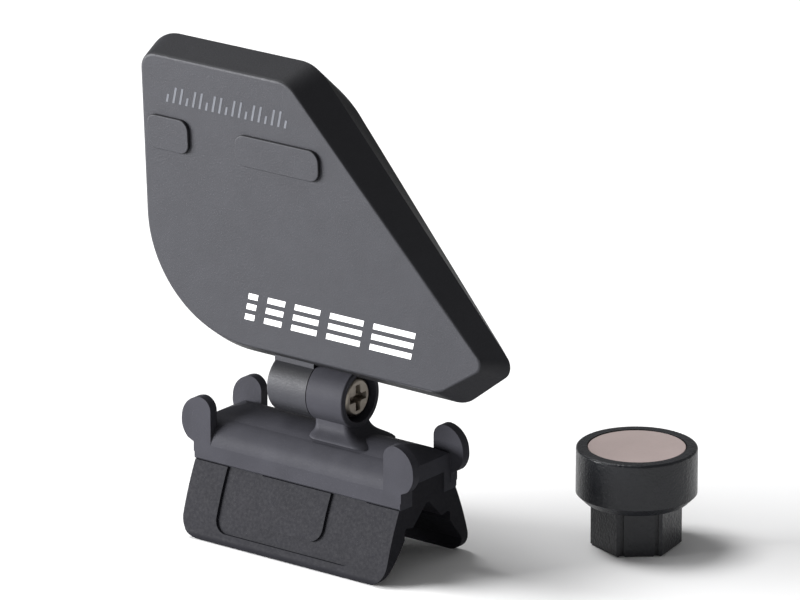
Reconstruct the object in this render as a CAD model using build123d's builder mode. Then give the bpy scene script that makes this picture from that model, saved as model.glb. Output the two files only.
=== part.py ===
"""Wireless cadence transmitter: a sensor head hinged on a chainstay bracket, and its pedal magnet.

Millimetres. +X runs along the chainstay and the hinge, +Y towards the wheel, +Z up.
The origin is the middle of the rubber saddle's V ridge.
"""

import os
from math import cos, radians, sin, sqrt, tan

from build123d import *

os.makedirs("parts", exist_ok=True)

# ---- driving dimensions -------------------------------------------------------------------

# Bracket and rubber saddle
RAIL_Z = 0.35  # underside of the bracket's rails
BASE_LEN = 26.2  # bracket along X
BASE_HALF_W = 4.65  # bracket half width, at the rails
RAIL_H = 1.8  # outer face of a rail
TONGUE_HALF_W = 2.65  # saddle tongue inside the bracket's channel
TONGUE_H = 2.15
SHOULDER_MID = (4.05, 3.3)  # half width and height of a point on the shoulder's curve
DECK_HALF_W = 2.75  # crowned deck between the two shoulders
DECK_EDGE_H = 4.25
DECK_TOP_H = 5.2
DECK_FLAT_TO = 8.8  # the deck starts to fall here
DECK_FALL = (11.4, 4.9)  # X and height of a point on its fall
END_H = 3.9  # height at the bracket's two ends
PAD_LEN = 26.0
PAD_DROP = 7.6  # leg tips below the rail underside
LEG_MID = (5.95, -3.1)  # outer face of a leg: half width and height from the rail underside
LEG_OUT = (7.0, -6.6)
PAD_CORNER_R = 2.4
FLAP_DEPTH = 0.25
FLAP_HALF_W = 8.8
FLAP_DROP = 6.3
RAISED_HALF_W = 4.4
RAISED_DROP = 4.8
FLAP_R = 1.4
EDGE_BREAK = 0.2  # bevel that leaves a fine joint line between bracket and saddle
EAR_IN = 11.0  # inner straight edge of a ring hook, from the middle
EAR_OUT = 14.7
EAR_TOP = 6.7
EAR_T = 1.05
EAR_NECK = 13.2

# Hinge
HINGE_Z = RAIL_Z + 8.85
KNUCKLE_R = 3.1
KNUCKLE_OUT = 4.6  # free end of the bracket's knuckle
HEAD_KNUCKLE_END = -5.1
HINGE_GAP = 0.05  # each knuckle stands this far from the middle plane
SHANK_R = 1.25
RUNNING_GAP = 0.05  # radial clearance of every shaft
SHANK_END = -3.9
INSERT_R = 2.2
INSERT_END = -4.3
WELL_R = 2.5  # counterbore that holds the washer and the screw head
WELL_FLOOR = 2.75
KNUCKLE_EDGE_R = 0.2
# Knuckle's neck, from the knuckle down into the deck. Each section has its height, X from,
# X to, half width and corner radius.
NECK_SECTIONS = (
    (7.3, 0.05, 4.4, 1.9, 0.6),
    (6.3, 0.05, 4.4, 1.9, 0.6),
    (5.6, 0.05, 4.9, 2.05, 0.8),
    (5.1, -0.1, 5.9, 2.45, 1.1),
    (4.6, -0.3, 7.4, 3.0, 1.4),
)
WASHER_T = 0.3
SCREW_HEAD_R = 2.03
SCREW_HEAD_T = 1.2
SCREW_HEAD_EDGE_R = 0.45
SCREW_TIP_BEVEL = 0.3
WASHER_GAP = 0.2
CROSS_LEN = 2.7
CROSS_W = 0.75
CROSS_CORE_R = 0.64
CROSS_DEPTH = 0.85
CROSS_TAPER = 14  # degrees

# Sensor head: three outlines, each a list of ((X, Z), corner radius). The flat front face leans
# forward; its sides flare out to the rim, where the two shells meet; the rear face is smaller.
HEAD_BOTTOM = RAIL_Z + 12.65  # lower edge of the front face
FACE_CORNERS = (
    ((-19.9, RAIL_Z + 41.75), 1.7),
    ((-1.3, RAIL_Z + 41.75), 3.2),
    ((22.25, RAIL_Z + 16.42), 1.1),
    ((16.4, HEAD_BOTTOM), 3.0),
    ((-19.9, HEAD_BOTTOM), 12.0),
)
RIM_CORNERS = (
    ((-21.75, RAIL_Z + 43.1), 4.2),
    ((-0.25, RAIL_Z + 43.1), 4.0),
    ((24.6, RAIL_Z + 16.1), 1.5),
    ((18.5, RAIL_Z + 11.35), 3.6),
    ((-21.75, RAIL_Z + 11.55), 13.4),
)
REAR_CORNERS = (
    ((-20.4, RAIL_Z + 41.8), 4.2),
    ((0.3, RAIL_Z + 41.6), 13.0),
    ((22.3, RAIL_Z + 16.1), 1.6),
    ((17.8, RAIL_Z + 12.6), 3.4),
    ((-20.4, RAIL_Z + 12.8), 12.4),
)
FACE_LEAN = 3.0  # degrees
FACE_Y = -2.6  # front face, level with the hinge
PARTING_Y = -0.9
WALL = 1.1
REAR_WALL_Y = 0.45  # inner face of the rear wall
BACK_Y = 1.7  # rear face at the top of the head
BACK_TAPER = 1.2  # degrees, the rear shell thins downwards
FACE_EDGE_R = 0.35
REAR_EDGE_R = 0.6
RECESS_GAP = 0.2  # between the bracket's knuckle and the hollow it turns in
TONGUE_RING = (0.9, 1.6)  # sealing tongue, from and to, inwards from the rim
TONGUE_RING_H = 0.6

# Battery bay, centred on the coin cell
BAY = (-4.5, RAIL_Z + 27.2)
CELL_R = 10.0
CELL_T = 3.2
CELL_Y = -0.1  # front of the cell
BAY_BORE_R = 11.0
BAY_RING_R = 12.1
RING_TOP_Y = 1.95
COVER_Y = 2.5  # underside of the cover's flange
COVER_T = 1.9
COVER_TOP_R = 10.9
SKIRT_R = BAY_BORE_R - RUNNING_GAP
SKIRT_IN_R = 10.2
SKIRT_END_Y = 1.0
SEAL_R = 0.275  # half the seal ring's thickness
SEAL_PATH_R = 11.45

# Circuit board
BOARD_Y = -0.7  # rear face
BOARD_T = 0.8
BOARD_INSET = 1.5  # from the front face's outline

# Pedal magnet
MAGNET_AT = (25.0, 19.0)
FLOOR_Z = RAIL_Z - PAD_DROP
HEX_AF = 8.0
PLUG_LEN = 4.9
CAP_R = 6.15
CAP_H = 5.6
DISC_R = 4.95
DISC_T = 1.5
DISC_SUNK = 0.05
DISC_GAP = 0.1
DISC_EDGE_R = 0.08
CAP_BEVEL = 0.8  # under the cap
CAP_EDGE_R = 0.25
PLUG_BREAK = 0.2
PLUG_TURN = 40.5  # degrees, where one corner of the plug points
FLUTE_DEPTH = 0.3
FLUTE_W = 0.35
FLUTE_AT = 1.75  # from the middle of a flat

HALF_LEN = BASE_LEN / 2
BOARD_FRONT_Y = BOARD_Y - BOARD_T


def face_y(z):
    """Y of the leaning front face at height z."""
    return FACE_Y - (z - HINGE_Z) * tan(radians(FACE_LEAN))


def plane_at_y(y):
    """Sketch plane facing the front (-Y) at the given Y; sketch x is X and sketch y is Z."""
    return Plane.XZ.offset(-y)


def finish(builder, name):
    """Label a sub-part and write it."""
    builder.part.label = name
    export_step(builder.part, f"parts/{name}.step")


# ---- outlines used by several sub-parts ---------------------------------------------------

def outline(corners, inset=0.0):
    """Outline through the corners, with its corner radii, shrunk by inset. Sketch y is Z."""
    with BuildSketch() as shape:
        with BuildLine():
            Polyline(*[corner for corner, _ in corners], close=True)
        make_face()
        for corner, radius in corners:
            fillet(shape.vertices().sort_by_distance(corner)[0], radius)
        if inset:
            offset(amount=-inset)
    return shape.sketch


def knuckle_space(start, end, gap):
    """Round space about the hinge axis, from start to end, wider than a knuckle by gap."""
    with BuildPart() as space:
        with BuildSketch(Plane.YZ.offset(start)):
            with Locations((0, HINGE_Z)):
                Circle(KNUCKLE_R + gap)
        extrude(amount=end - start)
    return space.part


# ---- root: bracket and rubber saddle ------------------------------------------------------

with BuildPart() as ring_hooks:
    # Four hooks for the rubber ring, one at each corner of the bracket.
    for side in (-1, 1):
        with BuildSketch(Plane.XZ.offset(side * BASE_HALF_W)):
            with BuildLine():
                Line((EAR_IN, RAIL_Z + 0.8), (EAR_IN, RAIL_Z + 5.2))
                ThreePointArc(
                    (EAR_IN, RAIL_Z + 5.2), (11.35, RAIL_Z + 6.25), (12.4, RAIL_Z + EAR_TOP)
                )
                ThreePointArc(
                    (12.4, RAIL_Z + EAR_TOP), (14.0, RAIL_Z + 5.95), (EAR_OUT, RAIL_Z + 4.3)
                )
                ThreePointArc(
                    (EAR_OUT, RAIL_Z + 4.3), (14.5, RAIL_Z + 2.9), (13.95, RAIL_Z + 2.15)
                )
                Polyline(
                    (13.95, RAIL_Z + 2.15),
                    (EAR_NECK, RAIL_Z + 1.8),
                    (EAR_NECK, RAIL_Z + 0.8),
                    (EAR_IN, RAIL_Z + 0.8),
                )
            make_face()
            mirror(about=Plane.YZ)
        extrude(amount=-side * EAR_T)

with BuildPart() as bracket:
    with BuildSketch(Plane.YZ.offset(-HALF_LEN)):
        with BuildLine():
            Polyline(
                (0, RAIL_Z + TONGUE_H),
                (TONGUE_HALF_W, RAIL_Z + TONGUE_H),
                (TONGUE_HALF_W, RAIL_Z),
                (BASE_HALF_W - EDGE_BREAK, RAIL_Z),
                (BASE_HALF_W, RAIL_Z + EDGE_BREAK),
                (BASE_HALF_W, RAIL_Z + RAIL_H),
            )
            # Rounded shoulder, then the crowned deck.
            ThreePointArc(
                (BASE_HALF_W, RAIL_Z + RAIL_H),
                (SHOULDER_MID[0], RAIL_Z + SHOULDER_MID[1]),
                (DECK_HALF_W, RAIL_Z + DECK_EDGE_H),
            )
            ThreePointArc(
                (DECK_HALF_W, RAIL_Z + DECK_EDGE_H),
                (DECK_HALF_W / 2, RAIL_Z + DECK_TOP_H - (DECK_TOP_H - DECK_EDGE_H) / 4),
                (0, RAIL_Z + DECK_TOP_H),
            )
            mirror(about=Plane.YZ)
        make_face()
    extrude(amount=BASE_LEN)
    # The deck falls away in a curve towards both ends.
    with BuildSketch(Plane.XZ) as side_profile:
        with BuildLine():
            Polyline((0, RAIL_Z), (HALF_LEN, RAIL_Z), (HALF_LEN, RAIL_Z + END_H))
            ThreePointArc(
                (HALF_LEN, RAIL_Z + END_H),
                (DECK_FALL[0], RAIL_Z + DECK_FALL[1]),
                (DECK_FLAT_TO, RAIL_Z + DECK_TOP_H),
            )
            Line((DECK_FLAT_TO, RAIL_Z + DECK_TOP_H), (0, RAIL_Z + DECK_TOP_H))
            mirror(about=Plane.YZ)
        make_face()
    extrude(amount=BASE_HALF_W + 1, both=True, mode=Mode.INTERSECT)
    with BuildPart(mode=Mode.PRIVATE) as knuckle:
        add(knuckle_space(HINGE_GAP, KNUCKLE_OUT, 0))
        fillet(knuckle.faces().sort_by(Axis.X)[-1].edges(), KNUCKLE_EDGE_R)
    add(knuckle.part)
    # The knuckle's neck spreads in a curve on to the deck.
    with BuildPart() as neck:
        for height, start, end, half_width, corner in NECK_SECTIONS:
            with BuildSketch(Plane.XY.offset(RAIL_Z + height)):
                with Locations(((start + end) / 2, 0)):
                    RectangleRounded(end - start, 2 * half_width, corner)
        loft()
    add(ring_hooks.part)
    # Screw hole and the well that holds the washer and the screw head.
    with BuildSketch(Plane.YZ.offset(HINGE_GAP)):
        with Locations((0, HINGE_Z)):
            Circle(SHANK_R + RUNNING_GAP)
    extrude(amount=KNUCKLE_OUT, mode=Mode.SUBTRACT)
    with BuildSketch(Plane.YZ.offset(WELL_FLOOR)):
        with Locations((0, HINGE_Z)):
            Circle(WELL_R)
    extrude(amount=KNUCKLE_OUT, mode=Mode.SUBTRACT)
finish(bracket, "bracket")

with BuildPart() as flap_recess:
    # A wide U-shaped flap is let into the saddle's outer faces, round a raised pad.
    with BuildSketch(Plane.YZ):
        with BuildLine():
            ThreePointArc(
                (BASE_HALF_W - FLAP_DEPTH, RAIL_Z),
                (LEG_MID[0] - FLAP_DEPTH, RAIL_Z + LEG_MID[1]),
                (LEG_OUT[0] - FLAP_DEPTH, RAIL_Z + LEG_OUT[1]),
            )
            Polyline(
                (LEG_OUT[0] - FLAP_DEPTH, RAIL_Z + LEG_OUT[1]),
                (9, RAIL_Z + LEG_OUT[1]),
                (9, RAIL_Z),
                (BASE_HALF_W - FLAP_DEPTH, RAIL_Z),
            )
        make_face()
        mirror(about=Plane.YZ)
    extrude(amount=HALF_LEN, both=True)
    with BuildSketch(Plane.XZ) as flap_shape:
        with Locations((0, RAIL_Z)):
            Rectangle(2 * FLAP_HALF_W, 2 * FLAP_DROP)
        fillet(flap_shape.vertices(), FLAP_R)
    extrude(amount=10, both=True, mode=Mode.INTERSECT)
    with BuildSketch(Plane.XZ) as raised_pad:
        with Locations((0, RAIL_Z)):
            Rectangle(2 * RAISED_HALF_W, 2 * RAISED_DROP)
        fillet(raised_pad.vertices(), FLAP_R)
    extrude(amount=10, both=True, mode=Mode.SUBTRACT)

with BuildPart() as rubber_saddle:
    with BuildSketch(Plane.YZ.offset(-PAD_LEN / 2)):
        with BuildLine():
            Polyline(
                (0, RAIL_Z + TONGUE_H),
                (TONGUE_HALF_W, RAIL_Z + TONGUE_H),
                (TONGUE_HALF_W, RAIL_Z),
                (BASE_HALF_W, RAIL_Z),
            )
            # Outer face of a leg, then its rounded tip with a narrow flat.
            ThreePointArc(
                (BASE_HALF_W, RAIL_Z),
                (LEG_MID[0], RAIL_Z + LEG_MID[1]),
                (LEG_OUT[0], RAIL_Z + LEG_OUT[1]),
            )
            ThreePointArc(
                (LEG_OUT[0], RAIL_Z + LEG_OUT[1]),
                (7.06, RAIL_Z - 7.25),
                (6.8, RAIL_Z - PAD_DROP),
            )
            Line((6.8, RAIL_Z - PAD_DROP), (6.5, RAIL_Z - PAD_DROP))
            # Inner face: the lip, the lower slope, a step, and the upper V.
            Polyline(
                (6.5, RAIL_Z - PAD_DROP),
                (6.2, RAIL_Z - 7.1),
                (5.85, RAIL_Z - 5.9),
                (4.5, RAIL_Z - 4.3),
                (3.75, RAIL_Z - 3.3),
                (3.75, RAIL_Z - 2.65),
            )
            ThreePointArc((3.75, RAIL_Z - 2.65), (3.62, RAIL_Z - 2.3), (3.3, RAIL_Z - 2.2))
            Polyline((3.3, RAIL_Z - 2.2), (2.4, RAIL_Z - 2.4), (0.5, RAIL_Z - 0.62))
            ThreePointArc((0.5, RAIL_Z - 0.62), (0.27, RAIL_Z - 0.42), (0, 0))
            mirror(about=Plane.YZ)
        make_face()
    extrude(amount=PAD_LEN)
    # The legs' lower corners are rounded, seen from the side.
    with BuildSketch(Plane.XZ) as saddle_side:
        with Locations((0, RAIL_Z - PAD_DROP)):
            Rectangle(PAD_LEN, PAD_DROP + TONGUE_H + 1, align=(Align.CENTER, Align.MIN))
        fillet(saddle_side.vertices().group_by(Axis.Y)[0], PAD_CORNER_R)
    extrude(amount=10, both=True, mode=Mode.INTERSECT)
    add(flap_recess.part, mode=Mode.SUBTRACT)
finish(rubber_saddle, "rubber_saddle")

# ---- sensor head: shells ------------------------------------------------------------------

# Sketch plane on the front face: sketch y runs up along the face.
FACE_PLANE = Plane(
    origin=(0, face_y(0), 0),
    x_dir=(1, 0, 0),
    z_dir=(0, -cos(radians(FACE_LEAN)), -sin(radians(FACE_LEAN))),
)
# Sketch plane on the rear face, which leans forward as it goes down.
REAR_PLANE = Plane(
    origin=(0, BACK_Y - FACE_CORNERS[0][0][1] * tan(radians(BACK_TAPER)), 0),
    x_dir=(1, 0, 0),
    z_dir=(0, -cos(radians(BACK_TAPER)), sin(radians(BACK_TAPER))),
)

POSTS = ((-14.2, RAIL_Z + 39.0), (-2.6, RAIL_Z + 38.8), (13.0, RAIL_Z + 17.6))
POST_R = 1.3
SCREW_BORE_R = 0.45
# Two raised position markers on the face: centre, length, height and corner radius
MARKERS = (
    ((-2.7, RAIL_Z + 33.65), 10.6, 3.3, 1.2),
    ((-16.6, RAIL_Z + 33.6), 5.3, 3.6, 1.1),
)
MARKER_H = 0.35
MARKER_EDGE_R = 0.12
POST_BORE_DEPTH = 0.9
KNUCKLE_END_R = 0.35
FACE_AXIS = Axis((0, 0, 0), tuple(FACE_PLANE.z_dir))
NECK_Y = (-1.7, PARTING_Y - 0.05)

def inner_space(depth, rear_y):
    """Room inside the walls, from depth below the front face back to rear_y."""
    with BuildPart() as space:
        with BuildSketch(plane_at_y(rear_y)):
            add(outline(FACE_CORNERS, WALL))
        extrude(amount=10)
        split(bisect_by=FACE_PLANE.offset(-depth), keep=Keep.BOTTOM)
    return space.part


def sealing_ring(gap):
    """The rear shell's tongue ahead of the parting plane, or with a gap the groove for it."""
    with BuildPart() as ring:
        with BuildSketch(plane_at_y(PARTING_Y)):
            add(outline(RIM_CORNERS, TONGUE_RING[0] - gap))
            add(outline(RIM_CORNERS, TONGUE_RING[1] + gap), mode=Mode.SUBTRACT)
        extrude(amount=TONGUE_RING_H + gap)
    return ring.part


with BuildPart() as front_shell:
    with BuildSketch(FACE_PLANE):
        add(outline(FACE_CORNERS))
    with BuildSketch(plane_at_y(PARTING_Y)):
        add(outline(RIM_CORNERS))
    loft(ruled=True)
    fillet(front_shell.faces().sort_by(Axis.Y)[0].edges(), FACE_EDGE_R)
    add(inner_space(WALL, PARTING_Y), mode=Mode.SUBTRACT)
    # Board posts, from the front wall to the board.
    with BuildSketch(plane_at_y(BOARD_FRONT_Y)):
        with Locations(*POSTS):
            Circle(POST_R)
    extrude(until=Until.NEXT)
    with BuildSketch(plane_at_y(BOARD_FRONT_Y)):
        with Locations(*POSTS):
            Circle(SCREW_BORE_R)
    extrude(amount=POST_BORE_DEPTH, mode=Mode.SUBTRACT)
    # The hollow that the bracket's knuckle turns in.
    add(knuckle_space(-HINGE_GAP, KNUCKLE_OUT + RECESS_GAP, RECESS_GAP), mode=Mode.SUBTRACT)
    # Knuckle, its neck up to the head's bottom wall, and the blind bore for the insert.
    with BuildPart(mode=Mode.PRIVATE) as head_knuckle:
        add(knuckle_space(HEAD_KNUCKLE_END, -HINGE_GAP, 0))
        fillet(head_knuckle.faces().sort_by(Axis.X)[0].edges(), KNUCKLE_END_R)
    add(head_knuckle.part)
    with BuildSketch(Plane.YZ.offset(HEAD_KNUCKLE_END + 0.1)):
        with BuildLine():
            Polyline(
                (NECK_Y[0], HINGE_Z + 1.5),
                (NECK_Y[1], HINGE_Z + 1.5),
                (NECK_Y[1], HEAD_BOTTOM + WALL / 2),
                (NECK_Y[0], HEAD_BOTTOM + WALL / 2),
                close=True,
            )
        make_face()
    extrude(amount=-HEAD_KNUCKLE_END - HINGE_GAP - 0.1)
    add(sealing_ring(RUNNING_GAP), mode=Mode.SUBTRACT)
    with BuildSketch(Plane.YZ.offset(-HINGE_GAP)):
        with Locations((0, HINGE_Z)):
            Circle(INSERT_R)
    extrude(amount=INSERT_END + HINGE_GAP, mode=Mode.SUBTRACT)
    for place, length, height, corner in MARKERS:
        with BuildSketch(FACE_PLANE):
            with Locations(place):
                RectangleRounded(length, height, corner)
        extrude(amount=MARKER_H)
        flat_faces = front_shell.faces().filter_by(GeomType.PLANE)
        fillet(flat_faces.sort_by(FACE_AXIS)[-1].edges(), MARKER_EDGE_R)
finish(front_shell, "front_shell")

with BuildPart() as rear_shell:
    with BuildSketch(plane_at_y(PARTING_Y)):
        add(outline(RIM_CORNERS))
    with BuildSketch(REAR_PLANE):
        add(outline(REAR_CORNERS))
    loft(ruled=True)
    fillet(rear_shell.faces().sort_by(Axis.Y)[-1].edges(), REAR_EDGE_R)
    with BuildSketch(plane_at_y(PARTING_Y)):
        add(outline(FACE_CORNERS, WALL))
    extrude(amount=PARTING_Y - REAR_WALL_Y, mode=Mode.SUBTRACT)
    add(sealing_ring(0))
    # Battery bay: a low ring with a round bore.
    with BuildSketch(plane_at_y(REAR_WALL_Y)):
        with Locations(BAY):
            Circle(BAY_RING_R)
    extrude(amount=REAR_WALL_Y - RING_TOP_Y)
    with BuildSketch(plane_at_y(REAR_WALL_Y - 1)):
        with Locations(BAY):
            Circle(BAY_BORE_R)
    extrude(amount=-4, mode=Mode.SUBTRACT)
    # Room for both knuckles under the head's lower edge.
    add(knuckle_space(HEAD_KNUCKLE_END - 0.05, -HINGE_GAP, RUNNING_GAP), mode=Mode.SUBTRACT)
    add(knuckle_space(-HINGE_GAP, KNUCKLE_OUT + RECESS_GAP, RECESS_GAP), mode=Mode.SUBTRACT)
finish(rear_shell, "rear_shell")

# ---- sensor head: circuit board and what is on it -----------------------------------------

REED_X = -17.0
REED_Z = (RAIL_Z + 28.0, RAIL_Z + 36.0)  # ends of the glass
REED_R = 0.9
LEAD_R = 0.25
LEAD_LEN = 1.4
REED_END_R = 0.6
COIL_X = (7.8, 15.6)
COIL_Z = RAIL_Z + 21.0
COIL_R = 1.0
CORE_R = 0.6
COIL_MARGIN = 0.8  # bare core at each end
REED_NOTCH_W = 4.6
COIL_NOTCH_LEN = 12.0
NOTCH_GAP = 0.2
SCREW_HOLE_R = 0.65
REED_NOTCH_H = REED_Z[1] - REED_Z[0] + 2 * LEAD_LEN + NOTCH_GAP
COIL_NOTCH_H = 2 * COIL_R + 2 * NOTCH_GAP
SUNK_Y = BOARD_Y - BOARD_T / 2 - 0.02  # centre line of the parts let into the board

with BuildPart() as circuit_board:
    with BuildSketch(plane_at_y(BOARD_Y)):
        add(outline(FACE_CORNERS, BOARD_INSET))
        with Locations(*POSTS):
            Circle(SCREW_HOLE_R, mode=Mode.SUBTRACT)
        # Notches for the reed switch, on the left, and the antenna, on the right.
        with Locations((REED_X - 1.2, sum(REED_Z) / 2)):
            Rectangle(REED_NOTCH_W, REED_NOTCH_H, mode=Mode.SUBTRACT)
        with Locations((COIL_X[0] - 0.3, COIL_Z)):
            Rectangle(
                COIL_NOTCH_LEN, COIL_NOTCH_H, align=(Align.MIN, Align.CENTER), mode=Mode.SUBTRACT
            )
    extrude(amount=BOARD_T)
finish(circuit_board, "circuit_board")

BOARD_SCREW_REACH = 0.6  # into the posts
BOARD_SCREW_HEAD_R = 1.1
BOARD_SCREW_HEAD_T = 0.55
BOARD_SCREW_CROSS = (1.2, 0.3, 0.3)  # length, width, depth

with BuildPart() as board_screws:
    with BuildSketch(plane_at_y(BOARD_FRONT_Y - BOARD_SCREW_REACH)):
        with Locations(*POSTS):
            Circle(SCREW_BORE_R)
    extrude(amount=-BOARD_SCREW_REACH - BOARD_T)
    with BuildSketch(plane_at_y(BOARD_Y)):
        with Locations(*POSTS):
            Circle(BOARD_SCREW_HEAD_R)
    extrude(amount=-BOARD_SCREW_HEAD_T)
    fillet(board_screws.faces().sort_by(Axis.Y)[-1].edges(), 0.2)
    with BuildSketch(plane_at_y(BOARD_Y + BOARD_SCREW_HEAD_T)):
        with Locations(*POSTS):
            Rectangle(BOARD_SCREW_CROSS[0], BOARD_SCREW_CROSS[1])
            Rectangle(BOARD_SCREW_CROSS[1], BOARD_SCREW_CROSS[0])
    extrude(amount=BOARD_SCREW_CROSS[2], mode=Mode.SUBTRACT)
finish(board_screws, "board_screws")

with BuildPart() as reed_glass:
    with BuildSketch(Plane.XY.offset(REED_Z[0])):
        with Locations((REED_X, SUNK_Y)):
            Circle(REED_R)
    extrude(amount=REED_Z[1] - REED_Z[0])
    fillet(reed_glass.edges().filter_by(GeomType.CIRCLE), REED_END_R)
finish(reed_glass, "reed_glass")

with BuildPart() as reed_leads:
    for end, way in ((REED_Z[0], -1), (REED_Z[1], 1)):
        with BuildSketch(Plane.XY.offset(end)):
            with Locations((REED_X, SUNK_Y)):
                Circle(LEAD_R)
        extrude(amount=way * LEAD_LEN)
finish(reed_leads, "reed_leads")

with BuildPart() as antenna_core:
    with BuildSketch(Plane.YZ.offset(COIL_X[0])):
        with Locations((SUNK_Y, COIL_Z)):
            Circle(CORE_R)
    extrude(amount=COIL_X[1] - COIL_X[0])
finish(antenna_core, "antenna_core")

with BuildPart() as antenna_coil:
    with BuildSketch(Plane.YZ.offset(COIL_X[0] + COIL_MARGIN)):
        with Locations((SUNK_Y, COIL_Z)):
            Circle(COIL_R)
            Circle(CORE_R, mode=Mode.SUBTRACT)
    extrude(amount=COIL_X[1] - COIL_X[0] - 2 * COIL_MARGIN)
finish(antenna_coil, "antenna_coil")


def board_boxes(places, length, height, thickness):
    """Boxes of one size that stand on the board's front face, at the given places."""
    with BuildPart() as boxes:
        with BuildSketch(plane_at_y(BOARD_FRONT_Y)):
            with Locations(*places):
                Rectangle(length, height)
        extrude(amount=thickness)
    return boxes


CHIP_Z = RAIL_Z + 34.4
CHIP_PITCH = 2.6
transmitter_chip = board_boxes([(-3.6, CHIP_Z)], 4.0, 4.0, 0.85)
finish(transmitter_chip, "transmitter_chip")
crystal = board_boxes([(-9.4, CHIP_Z + 0.6)], 3.2, 1.6, 0.75)
finish(crystal, "crystal")
capacitors = board_boxes([(-11.5 + CHIP_PITCH * i, CHIP_Z - 3.6) for i in range(4)], 1.6, 0.8, 0.7)
finish(capacitors, "capacitors")
resistors = board_boxes([(-0.4 + CHIP_PITCH * i, CHIP_Z - 5.2) for i in range(3)], 1.6, 0.8, 0.4)
finish(resistors, "resistors")

LEAF_T = 0.15
LEAF_W = 3.0

with BuildPart() as contact_negative:
    # Leaf spring from the board up to the middle of the cell.
    with BuildSketch(Plane.XY.offset(BAY[1] - LEAF_W / 2)):
        with BuildLine():
            Polyline(
                (-11.5, BOARD_Y),
                (-8.2, BOARD_Y),
                (-5.0, CELL_Y - LEAF_T),
                (-4.0, CELL_Y - LEAF_T),
                (-3.2, CELL_Y - 0.4),
                (-3.2, CELL_Y - 0.4 + LEAF_T),
                (-4.0, CELL_Y),
                (-5.0, CELL_Y),
                (-8.2, BOARD_Y + LEAF_T),
                (-11.5, BOARD_Y + LEAF_T),
                close=True,
            )
        make_face()
    extrude(amount=LEAF_W)
finish(contact_negative, "contact_negative")

CONTACT_ARC = radians(36)  # either side of straight down
CONTACT_FOOT_W = 0.85

with BuildPart() as contact_positive:
    # Curved spring that bears on the cell's rim, with its foot on the board.
    with BuildSketch(plane_at_y(BOARD_Y)):
        with Locations(BAY):
            Circle(CELL_R + LEAF_T)
            Circle(CELL_R, mode=Mode.SUBTRACT)
    extrude(amount=BOARD_Y - SKIRT_END_Y + LEAF_T)
    with BuildSketch(plane_at_y(BOARD_Y)):
        with Locations(BAY):
            Circle(CELL_R + CONTACT_FOOT_W)
            Circle(CELL_R, mode=Mode.SUBTRACT)
    extrude(amount=-LEAF_T)
    with BuildSketch(Plane.XZ):
        with BuildLine():
            across = 2 * CELL_R * sin(CONTACT_ARC)
            down = 2 * CELL_R * cos(CONTACT_ARC)
            Polyline(
                BAY,
                (BAY[0] - across, BAY[1] - down),
                (BAY[0] + across, BAY[1] - down),
                close=True,
            )
        make_face()
    extrude(amount=5, both=True, mode=Mode.INTERSECT)
finish(contact_positive, "contact_positive")

# ---- sensor head: coin cell ---------------------------------------------------------------

CELL_CAP_R = 8.8
CELL_SEAL_R = 9.15
CELL_CAP_T = 1.0
CELL_EDGE_R = 0.3

with BuildPart() as cell_cap:
    with BuildSketch(plane_at_y(CELL_Y)):
        with Locations(BAY):
            Circle(CELL_CAP_R)
    extrude(amount=-CELL_CAP_T)
    fillet(cell_cap.faces().sort_by(Axis.Y)[0].edges(), CELL_EDGE_R / 2)
finish(cell_cap, "cell_cap")

with BuildPart() as cell_gasket:
    with BuildSketch(plane_at_y(CELL_Y + 0.1)):
        with Locations(BAY):
            Circle(CELL_SEAL_R)
            Circle(CELL_CAP_R, mode=Mode.SUBTRACT)
    extrude(amount=0.1 - CELL_CAP_T)
finish(cell_gasket, "cell_gasket")

with BuildPart() as cell_can:
    with BuildSketch(plane_at_y(CELL_Y + 0.15)):
        with Locations(BAY):
            Circle(CELL_R)
    extrude(amount=0.15 - CELL_T)
    fillet(cell_can.faces().sort_by(Axis.Y)[-1].edges(), CELL_EDGE_R)
    with BuildSketch(plane_at_y(CELL_Y)):
        with Locations(BAY):
            Circle(CELL_SEAL_R)
    extrude(amount=-CELL_CAP_T, mode=Mode.SUBTRACT)
finish(cell_can, "cell_can")

# ---- battery cover and its seal -----------------------------------------------------------

with BuildPart() as cover_seal:
    with BuildSketch(Plane.YZ):
        with Locations(((RING_TOP_Y + COVER_Y) / 2, BAY[1] + SEAL_PATH_R)):
            Circle(SEAL_R)
    revolve(axis=Axis((0, 0, BAY[1]), (0, 1, 0)))
cover_seal.part.position = (BAY[0], 0, 0)
finish(cover_seal, "cover_seal")

COVER_FOOT_Y = RING_TOP_Y + 0.05
COVER_LIP_R = 11.8  # groove for the seal ends here
COVER_SKIN = 1.2
COVER_BEVEL = (0.5, 0.6)
COIN_SLOT = (13.5, 1.9, 0.7)  # length, width, depth

with BuildPart() as battery_cover:
    with BuildSketch(Plane.YZ):
        with BuildLine():
            top = COVER_Y + COVER_T
            Polyline(
                (top, 0),
                (top, COVER_TOP_R - COVER_BEVEL[1]),
                (top - COVER_BEVEL[0], COVER_TOP_R),
                (COVER_FOOT_Y + 0.4, BAY_RING_R - 0.1),
                (COVER_FOOT_Y, BAY_RING_R - 0.1),
                (COVER_FOOT_Y, COVER_LIP_R),
                (COVER_Y, COVER_LIP_R),
                (COVER_Y, SKIRT_R),
                (SKIRT_END_Y, SKIRT_R),
                (SKIRT_END_Y, SKIRT_IN_R),
                (top - COVER_SKIN, SKIRT_IN_R),
                (top - COVER_SKIN, 0),
                close=True,
            )
        make_face()
    revolve(axis=Axis((0, 0, 0), (0, 1, 0)))
    # Coin slot.
    with BuildSketch(plane_at_y(COVER_Y + COVER_T)):
        SlotOverall(COIN_SLOT[0], COIN_SLOT[1])
    extrude(amount=COIN_SLOT[2], mode=Mode.SUBTRACT)
battery_cover.part.position = (BAY[0], 0, BAY[1])
finish(battery_cover, "battery_cover")

# ---- hinge hardware -----------------------------------------------------------------------

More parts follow.
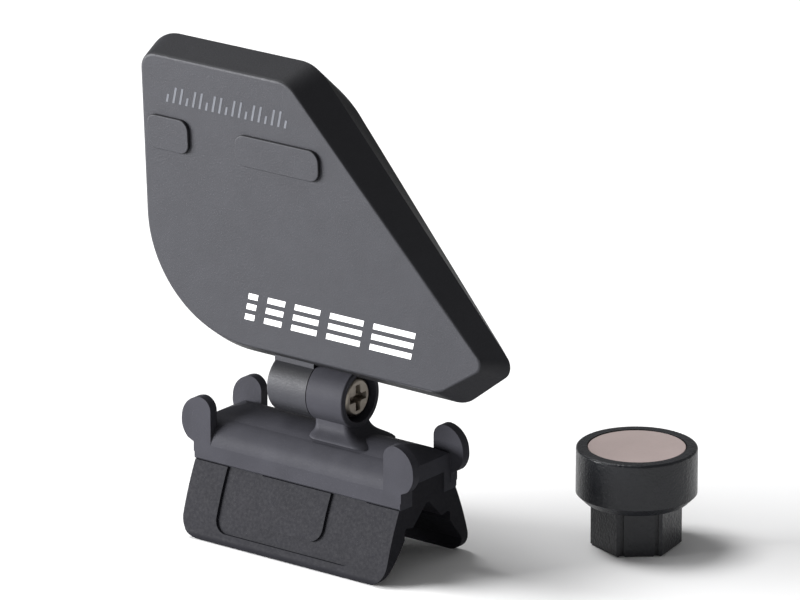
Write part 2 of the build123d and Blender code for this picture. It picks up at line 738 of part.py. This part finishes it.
with BuildPart() as threaded_insert:
    with BuildSketch(Plane.YZ.offset(INSERT_END)):
        with Locations((0, HINGE_Z)):
            Circle(INSERT_R)
            Circle(SHANK_R + RUNNING_GAP, mode=Mode.SUBTRACT)
    extrude(amount=-INSERT_END - 0.4)
finish(threaded_insert, "threaded_insert")

with BuildPart() as clamp_washer:
    with BuildSketch(Plane.YZ.offset(WELL_FLOOR)):
        with Locations((0, HINGE_Z)):
            Circle(WELL_R - WASHER_GAP)
            Circle(SHANK_R + RUNNING_GAP, mode=Mode.SUBTRACT)
    extrude(amount=WASHER_T)
finish(clamp_washer, "clamp_washer")

HEAD_SEAT = WELL_FLOOR + WASHER_T
with BuildPart() as clamp_screw:
    with BuildSketch(Plane.YZ.offset(SHANK_END)):
        with Locations((0, HINGE_Z)):
            Circle(SHANK_R)
    extrude(amount=HEAD_SEAT - SHANK_END)
    chamfer(clamp_screw.faces().sort_by(Axis.X)[0].edges(), SCREW_TIP_BEVEL)
    with BuildSketch(Plane.YZ.offset(HEAD_SEAT)):
        with Locations((0, HINGE_Z)):
            Circle(SCREW_HEAD_R)
    extrude(amount=SCREW_HEAD_T)
    fillet(clamp_screw.faces().sort_by(Axis.X)[-1].edges(), SCREW_HEAD_EDGE_R)
    # Cross recess, narrowing as it goes in.
    with BuildSketch(Plane.YZ.offset(HEAD_SEAT + SCREW_HEAD_T)):
        with Locations((0, HINGE_Z)):
            Rectangle(CROSS_LEN, CROSS_W)
            Rectangle(CROSS_W, CROSS_LEN)
            Circle(CROSS_CORE_R)
    extrude(amount=-CROSS_DEPTH, taper=CROSS_TAPER, mode=Mode.SUBTRACT)
finish(clamp_screw, "clamp_screw")

# ---- pedal magnet -------------------------------------------------------------------------

PLUG_TOP = FLOOR_Z + PLUG_LEN
HEX_R = HEX_AF / sqrt(3)

with BuildPart() as magnet_holder:
    with BuildSketch(Plane.XY.offset(FLOOR_Z)):
        with Locations(MAGNET_AT):
            RegularPolygon(HEX_R, 6, rotation=PLUG_TURN)
            # Flutes near both ends of every second flat leave the press-fit ribs standing.
            with PolarLocations(HEX_AF / 2 - FLUTE_DEPTH / 2, 3, start_angle=PLUG_TURN + 30):
                with Locations((0.1, FLUTE_AT), (0.1, -FLUTE_AT)):
                    Rectangle(FLUTE_DEPTH + 0.2, FLUTE_W, mode=Mode.SUBTRACT)
    extrude(amount=PLUG_LEN)
    chamfer(magnet_holder.faces().sort_by(Axis.Z)[0].outer_wire().edges(), PLUG_BREAK)
    with BuildPart(mode=Mode.PRIVATE) as cap:
        with BuildSketch(Plane.XY.offset(PLUG_TOP)):
            with Locations(MAGNET_AT):
                Circle(CAP_R)
        extrude(amount=CAP_H)
        chamfer(cap.faces().sort_by(Axis.Z)[0].edges(), CAP_BEVEL)
        fillet(cap.faces().sort_by(Axis.Z)[-1].edges(), CAP_EDGE_R)
    add(cap.part)
    with BuildSketch(Plane.XY.offset(PLUG_TOP + CAP_H)):
        with Locations(MAGNET_AT):
            Circle(DISC_R + DISC_GAP)
    extrude(amount=-DISC_SUNK - DISC_T, mode=Mode.SUBTRACT)
finish(magnet_holder, "magnet_holder")

with BuildPart() as magnet_disc:
    with BuildSketch(Plane.XY.offset(PLUG_TOP + CAP_H - DISC_SUNK - DISC_T)):
        with Locations(MAGNET_AT):
            Circle(DISC_R)
    extrude(amount=DISC_T)
    fillet(magnet_disc.faces().sort_by(Axis.Z)[-1].edges(), DISC_EDGE_R)
finish(magnet_disc, "magnet_disc")
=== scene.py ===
"""Cadence transmitter and pedal magnet: materials, printed marks, floor, light and camera.

Metres, in the CAD's own frame: +X along the hinge, +Y towards the wheel, +Z up.
"""

import math

import bpy
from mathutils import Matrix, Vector


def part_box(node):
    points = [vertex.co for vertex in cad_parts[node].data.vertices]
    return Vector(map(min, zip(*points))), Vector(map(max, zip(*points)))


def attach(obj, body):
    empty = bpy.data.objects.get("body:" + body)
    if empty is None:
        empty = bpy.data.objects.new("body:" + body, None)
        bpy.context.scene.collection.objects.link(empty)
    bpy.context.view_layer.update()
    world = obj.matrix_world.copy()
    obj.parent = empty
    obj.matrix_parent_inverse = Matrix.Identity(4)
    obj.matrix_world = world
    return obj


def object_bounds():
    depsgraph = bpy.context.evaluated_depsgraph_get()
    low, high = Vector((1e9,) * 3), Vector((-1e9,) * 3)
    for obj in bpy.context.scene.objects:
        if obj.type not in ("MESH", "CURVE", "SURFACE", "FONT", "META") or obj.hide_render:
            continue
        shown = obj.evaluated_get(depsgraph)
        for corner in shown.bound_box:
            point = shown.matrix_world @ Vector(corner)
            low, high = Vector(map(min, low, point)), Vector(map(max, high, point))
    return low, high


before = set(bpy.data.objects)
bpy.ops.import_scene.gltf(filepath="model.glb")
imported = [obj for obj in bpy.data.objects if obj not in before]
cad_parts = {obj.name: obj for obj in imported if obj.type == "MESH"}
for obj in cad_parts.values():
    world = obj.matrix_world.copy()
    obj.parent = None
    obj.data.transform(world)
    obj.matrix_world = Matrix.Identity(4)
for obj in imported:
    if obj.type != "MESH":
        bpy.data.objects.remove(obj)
cad_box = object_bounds()

MM = 0.001

# ---- camera: a long lens, from the front right and a little above ------------------------------

VIEW_AZIMUTH = math.radians(37.48)
VIEW_ELEVATION = math.radians(18.24)
VIEW_DISTANCE = 805.6 * MM
AIM_RIGHT = 7.57 * MM
AIM_UP = 17.7 * MM
LENS_MM = 360
SENSOR_MM = 36

back = Vector(
    (
        math.sin(VIEW_AZIMUTH) * math.cos(VIEW_ELEVATION),
        -math.cos(VIEW_AZIMUTH) * math.cos(VIEW_ELEVATION),
        math.sin(VIEW_ELEVATION),
    )
)
right = Vector((math.cos(VIEW_AZIMUTH), math.sin(VIEW_AZIMUTH), 0))
up = back.cross(right)


def add_camera():
    data = bpy.data.cameras.new("camera")
    data.lens = LENS_MM
    data.sensor_width = SENSOR_MM
    data.clip_start = 0.01
    data.clip_end = 20
    camera = bpy.data.objects.new("camera", data)
    camera.location = back * VIEW_DISTANCE + right * AIM_RIGHT + up * AIM_UP
    camera.rotation_mode = "QUATERNION"
    camera.rotation_quaternion = (-back).to_track_quat("-Z", "Y")
    bpy.context.scene.collection.objects.link(camera)
    bpy.context.scene.camera = camera


add_camera()

# ---- materials ---------------------------------------------------------------------------------

PATCH_SIZE = 2.6 * MM  # uneven colour
WAVE_SIZE = 1.4 * MM  # uneven surface, wider than the grain
WAVE_SHARE = 0.8  # its depth, next to the grain's
ROUGHNESS_SPREAD = 0.06
WALL_STARTS = 0.80  # how far a surface faces the front, 1 being straight at it; the painted shade on walls is full below this and gone above FACE_STARTS
FACE_STARTS = 0.96
MARKS_DARKEN = 0.82  # turning marks on metal


class Nodes:
    """A material's node tree, with short calls for the nodes used here."""

    def __init__(self, name):
        self.material = bpy.data.materials.new(name)
        self.material.use_nodes = True
        self.tree = self.material.node_tree
        self.shader = self.tree.nodes["Principled BSDF"]
        texture = self.tree.nodes.new("ShaderNodeTexCoord")
        self.coords = texture.outputs["Object"]
        self.normal = texture.outputs["Normal"]

    def link(self, source, target):
        self.tree.links.new(source, target)

    def noise(self, size, detail=2, stretch=(1, 1, 1)):
        """Noise whose grains are about size metres across."""
        mapping = self.tree.nodes.new("ShaderNodeMapping")
        mapping.inputs["Scale"].default_value = stretch
        self.link(self.coords, mapping.inputs["Vector"])
        noise = self.tree.nodes.new("ShaderNodeTexNoise")
        noise.inputs["Scale"].default_value = 1 / size
        noise.inputs["Detail"].default_value = detail
        self.link(mapping.outputs["Vector"], noise.inputs["Vector"])
        return noise.outputs["Fac"]

    def ramp(self, source, low, high, start=0.3, end=0.7):
        """Colours (or greys) from low to high as source goes from start to end."""
        ramp = self.tree.nodes.new("ShaderNodeValToRGB")
        ramp.color_ramp.elements[0].position = start
        ramp.color_ramp.elements[0].color = low
        ramp.color_ramp.elements[1].position = end
        ramp.color_ramp.elements[1].color = high
        self.link(source, ramp.inputs["Fac"])
        return ramp.outputs["Color"]

    def paint_shade_on_walls(self, colour, share):
        """Painted shade on the walls: the colour as it is on what faces the front (-Y), and that share of
        it elsewhere.
        """
        split = self.tree.nodes.new("ShaderNodeSeparateXYZ")
        self.link(self.normal, split.inputs["Vector"])
        frontness = self.tree.nodes.new("ShaderNodeMath")
        frontness.operation = "MULTIPLY"
        frontness.inputs[1].default_value = -1
        self.link(split.outputs["Y"], frontness.inputs[0])
        shade = self.tree.nodes.new("ShaderNodeMix")
        shade.data_type = "RGBA"
        shade.blend_type = "MULTIPLY"
        shade.inputs["Factor"].default_value = 1
        self.link(colour, shade.inputs["A"])
        kept = self.ramp(frontness.outputs["Value"], grey(share), grey(1), WALL_STARTS, FACE_STARTS)
        self.link(kept, shade.inputs["B"])
        return shade.outputs["Result"]

    def bump(self, source, depth, under=None):
        bump = self.tree.nodes.new("ShaderNodeBump")
        bump.inputs["Distance"].default_value = depth
        bump.inputs["Strength"].default_value = 1
        self.link(source, bump.inputs["Height"])
        if under:
            self.link(under, bump.inputs["Normal"])
        return bump.outputs["Normal"]


def grey(value):
    return (value, value, value, 1)


def rgba(red, green, blue):
    return (red, green, blue, 1)


def moulded(
    name, colour, roughness, gloss=0.4, grain=0.16 * MM, depth=0.010 * MM, mottle=0.08, painted_wall_shade=None
):
    """Moulded plastic or rubber: a spark-eroded grain, and faint uneven colour and gloss.

    painted_wall_shade, where it is given, paints shade on the surfaces that don't face the front:
    it is how light they are, next to those that do.
    """
    n = Nodes(name)
    n.shader.inputs["Specular IOR Level"].default_value = gloss
    patchy = n.noise(PATCH_SIZE, detail=4)
    dark = rgba(*[c * (1 - mottle) for c in colour])
    light = rgba(*[c * (1 + mottle) for c in colour])
    base = n.ramp(patchy, dark, light)
    # painted shade: surfaces that don't face the front get a darker colour
    if painted_wall_shade:
        base = n.paint_shade_on_walls(base, painted_wall_shade)
    n.link(base, n.shader.inputs["Base Color"])
    fine = n.noise(grain, detail=3)
    low = grey(roughness - ROUGHNESS_SPREAD)
    high = grey(roughness + ROUGHNESS_SPREAD)
    n.link(n.ramp(fine, low, high), n.shader.inputs["Roughness"])
    waves = n.bump(n.noise(WAVE_SIZE), depth * WAVE_SHARE)
    n.link(n.bump(fine, depth, under=waves), n.shader.inputs["Normal"])
    return n.material


def metal(name, colour, roughness, brushed=(1, 1, 1), grain=0.12 * MM, depth=0.004 * MM):
    """Bare or plated metal, with fine turning or rolling marks along the stretched direction."""
    n = Nodes(name)
    n.shader.inputs["Metallic"].default_value = 1
    marks = n.noise(grain, detail=4, stretch=brushed)
    dark = rgba(*[c * MARKS_DARKEN for c in colour])
    n.link(n.ramp(marks, dark, rgba(*colour)), n.shader.inputs["Base Color"])
    n.link(n.ramp(marks, grey(roughness - 0.08), grey(roughness + 0.1)), n.shader.inputs["Roughness"])
    n.link(n.bump(marks, depth), n.shader.inputs["Normal"])
    return n.material


def clear_glass(name):
    n = Nodes(name)
    n.shader.inputs["Transmission Weight"].default_value = 0.9
    n.shader.inputs["IOR"].default_value = 1.5
    streaks = n.noise(0.9 * MM, stretch=(1, 1, 0.2))
    n.link(n.ramp(streaks, rgba(0.72, 0.86, 0.8), rgba(0.85, 0.95, 0.9)), n.shader.inputs["Base Color"])
    n.link(n.ramp(streaks, grey(0.03), grey(0.1)), n.shader.inputs["Roughness"])
    return n.material


def solder_mask(name):
    """Green circuit board with paler tracks under the varnish."""
    n = Nodes(name)
    tracks = n.tree.nodes.new("ShaderNodeTexBrick")
    tracks.inputs["Scale"].default_value = 1 / (2.2 * MM)
    tracks.inputs["Mortar Size"].default_value = 0.09
    tracks.inputs["Color1"].default_value = rgba(0.01, 0.10, 0.045)
    tracks.inputs["Color2"].default_value = rgba(0.012, 0.12, 0.05)
    tracks.inputs["Mortar"].default_value = rgba(0.03, 0.2, 0.08)
    turn = n.tree.nodes.new("ShaderNodeMapping")
    turn.inputs["Rotation"].default_value = (math.radians(90), 0, 0)
    n.link(n.coords, turn.inputs["Vector"])
    n.link(turn.outputs["Vector"], tracks.inputs["Vector"])
    n.link(tracks.outputs["Color"], n.shader.inputs["Base Color"])
    n.shader.inputs["Roughness"].default_value = 0.28
    n.link(n.bump(tracks.outputs["Fac"], 0.02 * MM), n.shader.inputs["Normal"])
    return n.material


# painted shade: the housing's walls that don't face the front are 0.4 as light as its face
HOUSING = moulded(
    "housing_plastic", (0.029, 0.0295, 0.035), 0.55, gloss=0.20, depth=0.02 * MM, mottle=0.05, painted_wall_shade=0.4
)
# painted shade: the rear shell and battery cover are the housing's plastic, made about half as light as it
SHADED_REAR = moulded("rear_plastic_painted_shade", (0.014, 0.014, 0.016), 0.50, gloss=0.16)
# painted shade: the bracket's walls that don't face the front are 0.85 as light as its front
BRACKET = moulded("bracket_plastic", (0.036, 0.036, 0.043), 0.54, gloss=0.05, depth=0.015 * MM, painted_wall_shade=0.85)
SADDLE = moulded("saddle_rubber", (0.009, 0.009, 0.012), 0.66, gloss=0.10, grain=0.3 * MM, depth=0.006 * MM)
MAGNET = moulded("magnet_plastic", (0.008, 0.009, 0.012), 0.34, grain=0.26 * MM, depth=0.07 * MM)
DISC = moulded("magnet_face", (0.44, 0.36, 0.345), 0.5, grain=0.22 * MM, depth=0.006 * MM, mottle=0.03)
SEAL = moulded("seal_rubber", (0.012, 0.012, 0.013), 0.5)
CHIP = moulded("chip_resin", (0.012, 0.012, 0.014), 0.55, grain=0.08 * MM)
CERAMIC = moulded("capacitor_ceramic", (0.32, 0.20, 0.10), 0.5, grain=0.1 * MM)
FERRITE = moulded("ferrite", (0.02, 0.02, 0.022), 0.6, grain=0.1 * MM)
GASKET = moulded("gasket_nylon", (0.25, 0.26, 0.30), 0.35)
WHITE_INK = moulded("white_ink", (0.86, 0.86, 0.87), 0.5, grain=0.1 * MM, depth=0.002 * MM, mottle=0.03)
GREY_INK = moulded("grey_ink", (0.085, 0.09, 0.105), 0.5, grain=0.1 * MM, depth=0.002 * MM, mottle=0.08)
STEEL = metal("steel", (0.62, 0.61, 0.60), 0.3)
SCREW = metal("screw_steel", (0.30, 0.27, 0.23), 0.36, grain=0.5 * MM, depth=0.02 * MM)
CELL = metal("cell_steel", (0.7, 0.7, 0.69), 0.25, brushed=(1, 1, 12))
BRASS = metal("insert_brass", (0.72, 0.5, 0.2), 0.28, brushed=(10, 1, 1))
COPPER = metal("copper_wire", (0.75, 0.33, 0.16), 0.3, brushed=(8, 1, 1), grain=0.2 * MM)

LOOKS = {
    "front_shell": HOUSING,
    "rear_shell": SHADED_REAR,
    "battery_cover": SHADED_REAR,
    "cover_seal": SEAL,
    "bracket": BRACKET,
    "rubber_saddle": SADDLE,
    "clamp_screw": SCREW,
    "clamp_washer": STEEL,
    "threaded_insert": BRASS,
    "magnet_holder": MAGNET,
    "magnet_disc": DISC,
    "circuit_board": solder_mask("circuit_board"),
    "board_screws": STEEL,
    "reed_glass": clear_glass("reed_glass"),
    "reed_leads": STEEL,
    "antenna_core": FERRITE,
    "antenna_coil": COPPER,
    "transmitter_chip": CHIP,
    "crystal": STEEL,
    "capacitors": CERAMIC,
    "resistors": CHIP,
    "contact_negative": STEEL,
    "contact_positive": STEEL,
    "cell_can": CELL,
    "cell_cap": CELL,
    "cell_gasket": GASKET,
}

for node, material in LOOKS.items():
    for material_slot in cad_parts[node].material_slots:
        material_slot.material = material

# ---- marks printed on the face ------------------------------------------------------------------

INK_HEIGHT = 0.02 * MM  # above the face
INK_ROOT = 0.05 * MM  # into it
MARK_LEAN = math.tan(math.radians(14))
RAY_START = 10 * MM  # in front of the shell

GREY_X = (-16.85 * MM, -1.15 * MM)
GREY_Z = (37.25 * MM, 38.95 * MM)
GREY_BARS = 19
GREY_STROKE = 0.26 * MM

WHITE_LEFT = -7.85 * MM
WHITE_Z = (15.85 * MM, 18.75 * MM)
WHITE_BLOCKS = [w * MM for w in (1.2, 2.2, 3.2, 4.2, 5.2)]
WHITE_GAP = 1.25 * MM
WHITE_STRIPES = 3
WHITE_FILL = 0.55  # of each stripe's pitch


def face_plane():
    """A point on the head's front face, the way out of it, and the way up it."""
    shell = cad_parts["front_shell"]
    low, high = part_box("front_shell")
    middle = (low + high) / 2
    start = Vector((middle.x, low.y - RAY_START, middle.z))
    hit, point, normal, _ = shell.ray_cast(start, Vector((0, 1, 0)))
    if not hit:
        raise RuntimeError("the front face isn't where it was")
    across = Vector((1, 0, 0))
    return point, normal, normal.cross(across).normalized()


FACE_POINT, FACE_OUT, FACE_UP = face_plane()


def on_face(x, z):
    """The place on the face at that X and that height, both in metres."""
    along = (z - FACE_POINT.z) / FACE_UP.z
    place = FACE_POINT + FACE_UP * along
    return Vector((x, place.y, place.z))


def print_mark(name, outlines, ink):
    """Raised ink in the shape of each closed outline of (x, z) points, anticlockwise from the front."""
    verts = []
    faces = []
    for outline in outlines:
        start = len(verts)
        count = len(outline)
        spots = [on_face(x, z) for x, z in outline]
        verts += [spot + FACE_OUT * INK_HEIGHT for spot in spots]
        verts += [spot - FACE_OUT * INK_ROOT for spot in spots]
        faces.append([start + i for i in range(count)])
        faces.append([start + count + i for i in reversed(range(count))])
        for i in range(count):
            j = (i + 1) % count
            faces.append([start + j, start + i, start + count + i, start + count + j])
    mesh = bpy.data.meshes.new(name)
    mesh.from_pydata(verts, [], faces)
    mesh.materials.append(ink)
    mark = bpy.data.objects.new(name, mesh)
    bpy.context.scene.collection.objects.link(mark)
    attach(mark, "head")


def leaning_bar(left, width, low, high):
    """A bar that leans to the right, from its lower left corner."""
    lean = MARK_LEAN * (high - low)
    return [(left, low), (left + width, low), (left + width + lean, high), (left + lean, high)]


def grey_row():
    """A hatched band: evenly spaced thin leaning bars, every third one left short."""
    left, right = GREY_X
    low, high = GREY_Z
    pitch = (right - left - GREY_STROKE - MARK_LEAN * (high - low)) / (GREY_BARS - 1)
    outlines = []
    for i in range(GREY_BARS):
        top = high if i % 3 else (low + high) / 2
        outlines.append(leaning_bar(left + i * pitch, GREY_STROKE, low, top))
    return outlines


def white_stripes():
    """Stacked stripes, cut into wider and wider blocks by leaning gaps."""
    low, high = WHITE_Z
    pitch = (high - low) / (WHITE_STRIPES - 1 + WHITE_FILL)
    outlines = []
    for stripe in range(WHITE_STRIPES):
        bottom = low + stripe * pitch
        start = WHITE_LEFT + MARK_LEAN * (bottom - low)
        for width in WHITE_BLOCKS:
            outlines.append(leaning_bar(start, width, bottom, bottom + pitch * WHITE_FILL))
            start += width + WHITE_GAP
    return outlines


print_mark("grey_mark", grey_row(), GREY_INK)
print_mark("white_mark", white_stripes(), WHITE_INK)

# ---- floor, world and lights -------------------------------------------------------------------


def add_floor():
    level = cad_box[0].z
    bpy.ops.mesh.primitive_plane_add(size=8, location=(0, 0, level))
    floor = bpy.context.object
    floor.name = "floor"
    n = Nodes("floor")
    cloudy = n.noise(0.4)
    n.link(n.ramp(cloudy, rgba(0.90, 0.90, 0.905), rgba(0.93, 0.93, 0.93)), n.shader.inputs["Base Color"])
    n.shader.inputs["Roughness"].default_value = 0.9
    n.shader.inputs["Specular IOR Level"].default_value = 0
    floor.data.materials.append(n.material)


def add_world(seen, lighting):
    """White behind the object, and a dimmer even light on it."""
    world = bpy.data.worlds.new("studio")
    bpy.context.scene.world = world
    world.use_nodes = True
    tree = world.node_tree
    background = tree.nodes["Background"]
    ray = tree.nodes.new("ShaderNodeLightPath")
    mix = tree.nodes.new("ShaderNodeMix")
    mix.data_type = "RGBA"
    mix.inputs["A"].default_value = rgba(lighting, lighting, lighting)
    mix.inputs["B"].default_value = rgba(seen, seen, seen)
    tree.links.new(ray.outputs["Is Camera Ray"], mix.inputs["Factor"])
    tree.links.new(mix.outputs["Result"], background.inputs["Color"])


def add_light(name, azimuth, elevation, distance, size, power):
    """A soft area light that looks at the middle of the object. Azimuth 0 is in front (-Y)."""
    middle = (cad_box[0] + cad_box[1]) / 2
    a = math.radians(azimuth)
    e = math.radians(elevation)
    way = Vector((math.sin(a) * math.cos(e), -math.cos(a) * math.cos(e), math.sin(e)))
    data = bpy.data.lights.new(name, "AREA")
    data.shape = "RECTANGLE"
    data.size, data.size_y = size
    data.energy = power
    light = bpy.data.objects.new(name, data)
    light.location = middle + way * distance
    light.rotation_mode = "QUATERNION"
    light.rotation_quaternion = way.to_track_quat("Z", "Y")
    light.visible_camera = False
    bpy.context.scene.collection.objects.link(light)


add_floor()
add_world(seen=1.0, lighting=0.25)
add_light("key", azimuth=-50, elevation=9, distance=0.8, size=(0.5, 0.2), power=20.0)
add_light("floor_wash", azimuth=-75, elevation=64, distance=1.6, size=(0.7, 0.7), power=17.0)

bpy.context.scene.view_settings.view_transform = "Standard"
